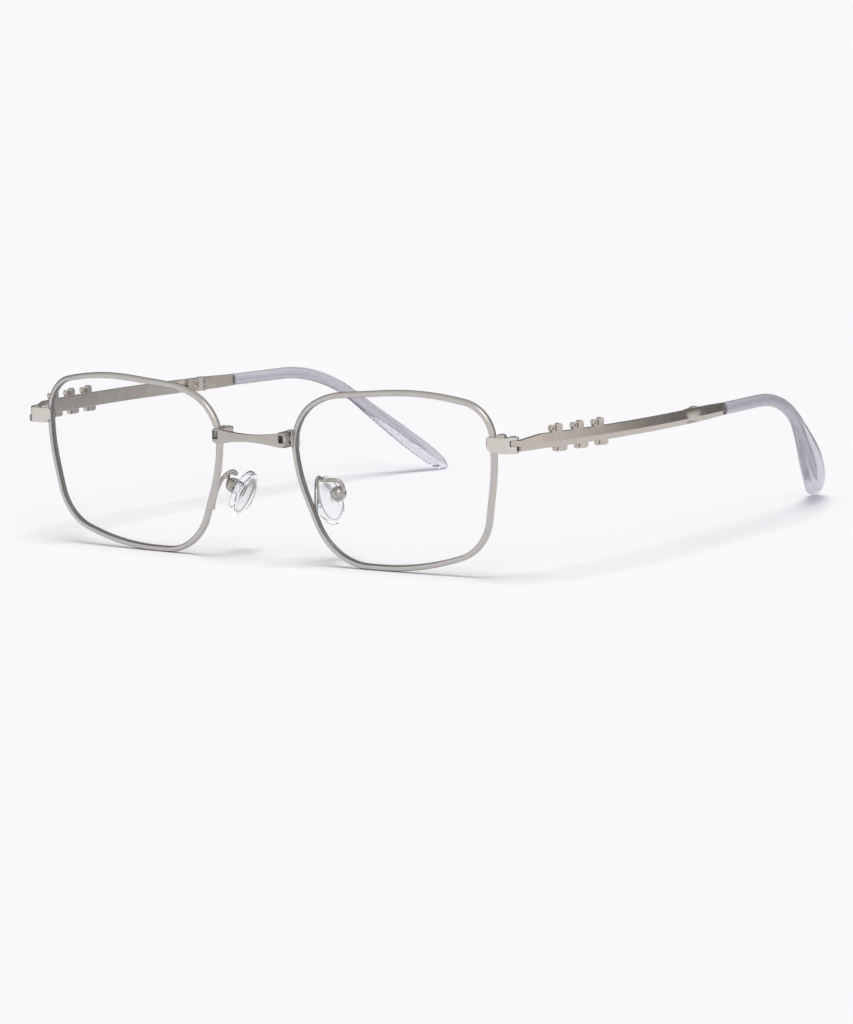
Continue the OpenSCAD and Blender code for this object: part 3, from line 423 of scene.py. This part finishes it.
def finish_piece(name, mesh, place, side, finish, nodes, angle=38):
    """A mesh made in millimetres for the left side: placed or mirrored, smoothed, and standing for its nodes."""
    mesh.transform(Matrix.Diagonal((0.001 * side, 0.001, 0.001, 1.0)) @ place)
    form = bmesh.new()
    form.from_mesh(mesh)
    bmesh.ops.recalc_face_normals(form, faces=form.faces)
    form.to_mesh(mesh)
    form.free()
    mesh.materials.append(finish)
    mesh.polygons.foreach_set("use_smooth", [True] * len(mesh.polygons))
    mesh.set_sharp_from_angle(angle=math.radians(angle))
    ob = bpy.data.objects.new(name, mesh)
    scene.collection.objects.link(ob)
    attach(ob, parts[nodes[0]]["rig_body"])
    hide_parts(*nodes)
    return ob


def rim_rings():
    """The wire opens by a thin cut on its outer side, at the height of the end piece."""
    section = rim_section()
    cut = OPEN_Z - EYE_Z
    line = [q for q in OUTLINE if not (q[0].x > 0 and abs(q[0].y - cut) < RIM_CUT / 2 + 0.1)]
    first = min((i for i, q in enumerate(line) if q[0].x > 0 and q[0].y > cut), key=lambda i: line[i][0].y)
    line = line[first:] + line[:first]
    p, q = line[0], line[-1]
    rows = [(p[0] + (q[0] - p[0]) * 0.5 + Vector((0, RIM_CUT / 2)), p[1])] + line
    rows += [(p[0] + (q[0] - p[0]) * 0.5 - Vector((0, RIM_CUT / 2)), q[1])]
    rings = []
    for p, out in rows:
        ring = [p + s[0] * out for s in section]
        rings.append([(c.x, sag(c) + s[1], c.y) for c, s in zip(ring, section)])
    return rings


def lens_rings():
    """A meniscus of even thickness with its bevel in the groove."""
    play = 0.04
    foot, top = -RIM_W / 2 - play, -RIM_W / 2 + GROOVE_D - play
    half = GROOVE_W / 2 - play
    shares = (0.02, 0.2, 0.4, 0.6, 0.8, 0.92, 1.0)
    rows = [(share, foot, LENS_T / 2) for share in shares]
    rows += [(1.0, foot, half), (1.0, top, 0.0), (1.0, foot, -half)]
    rows += [(share, foot, -LENS_T / 2) for share in reversed(shares)]
    rings = []
    for share, out, back in rows:
        ring = [share * (p + out * n) for p, n in OUTLINE]
        rings.append([(c.x, sag(c) + back, c.y) for c in ring])
    return rings


# Nose pads and their arms, in millimetres in the frame of the left pad
PAD_LEN, PAD_W, PAD_T = 10.4, 7.4, 2.1
PAD_TURN = [math.radians(a) for a in (-9.7, -21.5, -3.4)]
PIVOT = Vector((2.8, 0.0, 0.6))
ARM_R = 0.42
# The pad over its outline: the share of its half sizes, then the height as a share of its thickness
PAD_LAYERS = (
    (0.02, -0.34), (0.3, -0.34), (0.56, -0.37), (0.7, -0.44), (0.82, -0.49), (0.91, -0.45), (0.97, -0.3),
    (1.0, -0.08), (0.99, 0.12), (0.94, 0.28), (0.82, 0.38), (0.6, 0.42), (0.3, 0.44), (0.02, 0.44),
)


def pad_place():
    joint = [j for j in frame["joints"] if j["name"] == "pad_left"][0]
    turn = Matrix.Rotation(PAD_TURN[2], 4, "Z") @ Matrix.Rotation(PAD_TURN[1], 4, "Y")
    turn = turn @ Matrix.Rotation(PAD_TURN[0], 4, "X")
    return Matrix.Translation(Vector(joint["pos_m"]) * 1000) @ turn @ Matrix.Translation(-PIVOT)


def pad_mesh(name):
    """A clear oval with a raised rounded border, narrower at its top."""
    sides, rings = 48, []
    for share, height in PAD_LAYERS:
        ring = []
        for j in range(sides):
            a = 2 * math.pi * j / sides
            slim = 1 - 0.08 * math.sin(a)
            ring.append((height * PAD_T, share * PAD_W / 2 * math.cos(a) * slim, share * PAD_LEN / 2 * math.sin(a)))
        rings.append(ring)
    return loft(name, rings, False, True)


def cup_mesh(name):
    """The metal cup on the back of a pad: a round dish with a rolled lip."""
    profile = ((2.05, 1.35), (2.0, 1.5), (2.12, 1.6), (2.5, 1.62), (3.3, 1.55), (3.9, 1.3), (4.2, 0.8), (4.28, 0.03),
               (4.0, 0.03), (3.9, 0.7), (3.6, 1.1), (3.1, 1.3), (2.4, 1.36))
    sides = 36
    rings = []
    for x, radius in profile:
        angles = [2 * math.pi * j / sides for j in range(sides)]
        rings.append([(x, radius * math.cos(a), PIVOT.z + radius * math.sin(a)) for a in angles])
    return loft(name, rings, True, False)


def stud_mesh(name):
    """The stud of a pad, from its back to its pivot, with a rounded end."""
    rings = []
    for x, half, tall in ((0.7, 0.5, 1.3), (1.4, 0.46, 0.95), (2.4, 0.46, 0.85), (3.2, 0.46, 0.8), (3.55, 0.4, 0.5)):
        angles = [2 * math.pi * j / 20 for j in range(20)]
        rings.append([(x, half * math.cos(a), PIVOT.z + tall * math.sin(a)) for a in angles])
    return loft(name, rings, False, True)


def through(stops, count):
    """A smooth line through the stops, with count steps between two of them."""
    line = []
    for i in range(len(stops) - 1):
        p0, p1, p2, p3 = (stops[max(0, min(len(stops) - 1, k))] for k in (i - 1, i, i + 1, i + 2))
        for j in range(count):
            t = j / count
            line.append(0.5 * (2 * p1 + (p2 - p0) * t + (2 * p0 - 5 * p1 + 4 * p2 - p3) * t * t
                               + (3 * p1 - p0 - 3 * p2 + p3) * t ** 3))
    return line + [stops[-1]]


def arm_mesh(name, eye, pad):
    """The wire from the back of the rim, up and round in a loop, and down to the cup."""
    u, v = -EYE_W / 2 * 0.843, 10.9 - EYE_Z
    foot = eye @ Vector((u, sag(Vector((u, v))) + RIM_D / 2, v))
    end = pad @ Vector((4.35, 0.0, PIVOT.z + 0.2))
    offsets = ((-0.1, 0.1, -1.3), (-0.12, 0.35, 0.2), (-0.45, 0.9, 2.3), (-0.95, 1.7, 4.4), (-1.7, 2.9, 5.9),
               (-2.2, 4.3, 6.4), (-2.1, 5.6, 5.7))
    stops = [foot + Vector(p) for p in offsets]
    stops += [end + Vector(p) for p in ((-1.0, -0.75, 2.1), (-0.15, -0.15, 0.95), (0.0, 0.0, -0.5))]
    line = through(stops, 8)
    rings, side = [], Vector((0.94, -0.34, 0.0))
    for i, p in enumerate(line):
        along = (line[min(len(line) - 1, i + 1)] - line[max(0, i - 1)]).normalized()
        a = along.cross(side).normalized()
        side = a.cross(along)
        share = 1.0 if 1 < i < len(line) - 2 else 0.75
        angles = [2 * math.pi * j / 14 for j in range(14)]
        rings.append([p + ARM_R * share * (math.cos(w) * a + math.sin(w) * side) for w in angles])
    return loft(name, rings, False, True)


# Clear tips, in millimetres in the frame of the left rear half, whose Y runs backwards from the fold
HINGE_AT, NECK_OUT, NECK_BACK, NECK_UP = Vector((62.1395, -64.095, 27.3)), 3.7, 5.4, 0.4
FLARE, PITCH, BOW_R, BOW_LEN, FOLD_BLOCK, LINK_END = math.radians(10), math.radians(0.7), 192.0, 51.6, 5.6, 9.76
TIP_STRAIGHT, TIP_BEND_R, TIP_LAST, TIP_TURN = 17.0, 38.0, 29.9753, math.radians(37.3)
TIP_LEN = TIP_STRAIGHT + TIP_BEND_R * TIP_TURN + TIP_LAST
TIP_TOE, TOE_START, TIP_TWIST, TWIST_FULL = 8.6, 18.0, math.radians(34), 48.0
TIP_H, BLADE_H, TIP_T, TIP_MID = 2.6, 6.0, 2.35, -0.75
SWELL_START, SWELL_END, END_ROUND = 36.0, 60.0, 2.4


def rear_place():
    bar = HINGE_AT + Vector((NECK_OUT, NECK_BACK, NECK_UP))
    bow = Matrix.Translation((-BOW_R, 0, 0)) @ Matrix.Rotation(BOW_LEN / BOW_R, 4, "Z")
    temple = Matrix.Translation(bar) @ Matrix.Rotation(-FLARE, 4, "Z") @ Matrix.Rotation(-PITCH, 4, "X")
    return temple @ bow @ Matrix.Translation((BOW_R, FOLD_BLOCK, 0))


def soft_step(t):
    t = min(1.0, max(0.0, t))
    return t * t * (3 - 2 * t)


def tip_centre(s):
    """Where the middle line of a tip is, and how steeply it runs down there."""
    w = min(TIP_TURN, max(0.0, (s - TIP_STRAIGHT) / TIP_BEND_R))
    past = max(0.0, s - TIP_LEN + TIP_LAST)
    back = min(s, TIP_STRAIGHT) + TIP_BEND_R * math.sin(w) + past * math.cos(w)
    down = TIP_BEND_R * (1 - math.cos(w)) + past * math.sin(w)
    toe = TIP_TOE * (max(0.0, s - TOE_START) / (TIP_LEN - TOE_START)) ** 2
    return Vector((TIP_MID - toe, LINK_END + back, -down)), w


def tip_mesh(name):
    """A bent tip that swells into a blade and ends in a blunt point, flat to the table."""
    sides, rings = 24, []
    stops = [(TIP_LEN - END_ROUND) * i / 44 for i in range(45)]
    stops += [TIP_LEN - END_ROUND + END_ROUND * math.sin(math.radians(70) * i / 9) for i in range(1, 10)]
    for s in stops:
        c, w = tip_centre(s)
        swell = (TIP_H + (BLADE_H - TIP_H) * soft_step((s - SWELL_START) / (SWELL_END - SWELL_START))) / 2
        taper = 0.3 + 0.72 * (TIP_LEN - s)
        half_h = (swell ** -5 + taper ** -5) ** -0.2
        half_t = TIP_T / 2 * math.sqrt(1 - max(0.0, (s - TIP_LEN + END_ROUND) / END_ROUND) ** 2)
        lean = TIP_TWIST * soft_step(s / TWIST_FULL)
        ring = []
        for j in range(sides):
            a = 2 * math.pi * j / sides
            x = half_t * math.copysign(abs(math.cos(a)) ** 0.8, math.cos(a))
            h = half_h * math.copysign(abs(math.sin(a)) ** 0.8, math.sin(a))
            x, h = x * math.cos(lean) + h * math.sin(lean), h * math.cos(lean) - x * math.sin(lean)
            ring.append(c + Vector((x, h * math.sin(w), h * math.cos(w))))
        rings.append(ring)
    return loft(name, rings, False, True)


EYE, PAD, REAR, HERE = eye_place(), pad_place(), rear_place(), Matrix.Identity(4)
for side, end in ((1, "left"), (-1, "right")):
    rim = loft("eyewire_" + end, rim_rings(), False, True)
    rows = len(rim_section())
    ob = finish_piece("eyewire_" + end, rim, EYE, side, wire, ["rim_" + end])
    # Painted shade: the faces that look at the lens take the dark metal
    ob.data.materials.append(groove)
    for i, face in enumerate(ob.data.polygons):
        if i % rows in PAINTED_SHADE_FACES and len(face.vertices) == 4:
            face.material_index = 1
    lens = loft("clear_lens_" + end, lens_rings(), False, True)
    finish_piece("clear_lens_" + end, lens, EYE, side, glass, ["lens_" + end])
    finish_piece("pad_" + end, pad_mesh("pad_" + end), PAD, side, silicone, ["nose_pad_" + end], 60)
    finish_piece("pad_stud_" + end, stud_mesh("pad_stud_" + end), PAD, side, silicone, ["nose_pad_" + end], 60)
    finish_piece("pad_cup_" + end, cup_mesh("pad_cup_" + end), PAD, side, fitting, ["pad_box_" + end], 50)
    finish_piece("pad_wire_" + end, arm_mesh("pad_wire_" + end, EYE, PAD), HERE, side, fitting, ["pad_arm_" + end], 60)
    finish_piece("acetate_tip_" + end, tip_mesh("acetate_tip_" + end), REAR, side, acetate, ["temple_tip_" + end], 60)

for node, ob in parts.items():
    kind = node.replace("_left", "").replace("_right", "")
    ob.data.materials.clear()
    ob.data.materials.append(FINISH[kind])
    shade(ob, SMOOTH_ANGLE.get(kind, 30))


# Studio
AWAY = (-0.588, 0.809, 0.0)
SOFT_LIGHT = (0.25, 0.25, 0.275)
KEY_LIGHT, TOP_LIGHT = 0.6, 2.02
# The dark of the room behind the glasses: light of the world for reflections, and painted shade on the floor as
# reflections see it
DARK_BACK = (0.17, 0.165, 0.165)


def studio():
    """A pale sweep under one broad overhead light, a soft front key and a mid-grey room for the metal to show. In
    reflections the floor behind the glasses is painted dark, as painted shade.
    """
    mat = bpy.data.materials.new("floor_pale")
    t = Tree(mat)
    p = t.add("ShaderNodeBsdfPrincipled")
    p.inputs["Base Color"].default_value = (0.93, 0.93, 0.935, 1.0)
    p.inputs["Roughness"].default_value = 0.9
    p.inputs["Specular IOR Level"].default_value = 0.0
    where = t.add("ShaderNodeTexCoord").outputs["Object"]
    unit = t.add("ShaderNodeVectorMath", operation="NORMALIZE")
    t.link(where, unit.inputs[0])
    dot = t.add("ShaderNodeVectorMath", operation="DOT_PRODUCT")
    t.link(unit.outputs[0], dot.inputs[0])
    dot.inputs[1].default_value = AWAY
    length = t.add("ShaderNodeVectorMath", operation="LENGTH")
    t.link(where, length.inputs[0])
    # Painted shade for reflections: glossy rays see the floor dark behind the glasses, fading in from 6 to 16 cm out
    far = t.math("MULTIPLY", t.remap(dot.outputs["Value"], 0.02, 0.42, 0.0, 1.0),
                 t.remap(length.outputs["Value"], 0.06, 0.16, 0.0, 0.8))
    painted_reflection_dark = t.add("ShaderNodeBsdfDiffuse")
    painted_reflection_dark.inputs["Color"].default_value = (*DARK_BACK, 1.0)
    both = t.add("ShaderNodeMixShader")
    glossy = t.add("ShaderNodeLightPath").outputs["Is Glossy Ray"]
    t.link(t.math("MULTIPLY", far, glossy), both.inputs[0])
    t.link(p.outputs[0], both.inputs[1])
    t.link(painted_reflection_dark.outputs[0], both.inputs[2])
    out = t.add("ShaderNodeOutputMaterial")
    t.link(both.outputs[0], out.inputs["Surface"])
    mesh = bpy.data.meshes.new("floor")
    mesh.from_pydata([(-12, -12, 0), (12, -12, 0), (12, 12, 0), (-12, 12, 0)], [], [(0, 1, 2, 3)])
    floor = bpy.data.objects.new("floor", mesh)
    floor.location = (0, 0, -0.0001)
    floor.data.materials.append(mat)
    scene.collection.objects.link(floor)

    world = bpy.data.worlds.new("studio")
    scene.world = world
    t = Tree(world)
    way = t.add("ShaderNodeTexCoord").outputs["Generated"]
    split = t.add("ShaderNodeSeparateXYZ")
    t.link(way, split.inputs[0])
    path = t.add("ShaderNodeLightPath")
    dot = t.add("ShaderNodeVectorMath", operation="DOT_PRODUCT")
    t.link(way, dot.inputs[0])
    dot.inputs[1].default_value = AWAY
    far = t.remap(dot.outputs["Value"], 0.02, 0.42, 0.0, 1.0)
    high = t.remap(split.outputs["Z"], 0.35, 0.8, 0.0, 1.0)
    room = t.mix(far, (0.95, 0.935, 0.915), DARK_BACK)
    room = t.mix(high, room, (0.72, 0.72, 0.72))
    seen = t.math("MAXIMUM", path.outputs["Is Camera Ray"], path.outputs["Is Transmission Ray"])
    colour = t.mix(path.outputs["Is Glossy Ray"], SOFT_LIGHT, room)
    colour = t.mix(seen, colour, (0.947, 0.947, 0.95))
    sky = t.add("ShaderNodeBackground")
    t.link(colour, sky.inputs["Color"])
    out = t.add("ShaderNodeOutputWorld")
    t.link(sky.outputs[0], out.inputs["Surface"])

    def lamp(name, kind, energy, toward, **values):
        data = bpy.data.lights.new(name, kind)
        data.energy = energy
        for k, v in values.items():
            setattr(data, k, v)
        ob = bpy.data.objects.new(name, data)
        ob.rotation_euler = Vector(toward).to_track_quat("-Z", "Y").to_euler()
        scene.collection.objects.link(ob)
        return ob

    lamp("key", "SUN", KEY_LIGHT, (-0.52, 0.50, -0.70), angle=math.radians(36), color=(1.0, 0.99, 0.97))
    top = lamp("top", "SUN", TOP_LIGHT, (-0.02, 0.12, -0.99), angle=math.radians(31), color=(1.0, 0.995, 0.985))
    top.visible_glossy = False


studio()
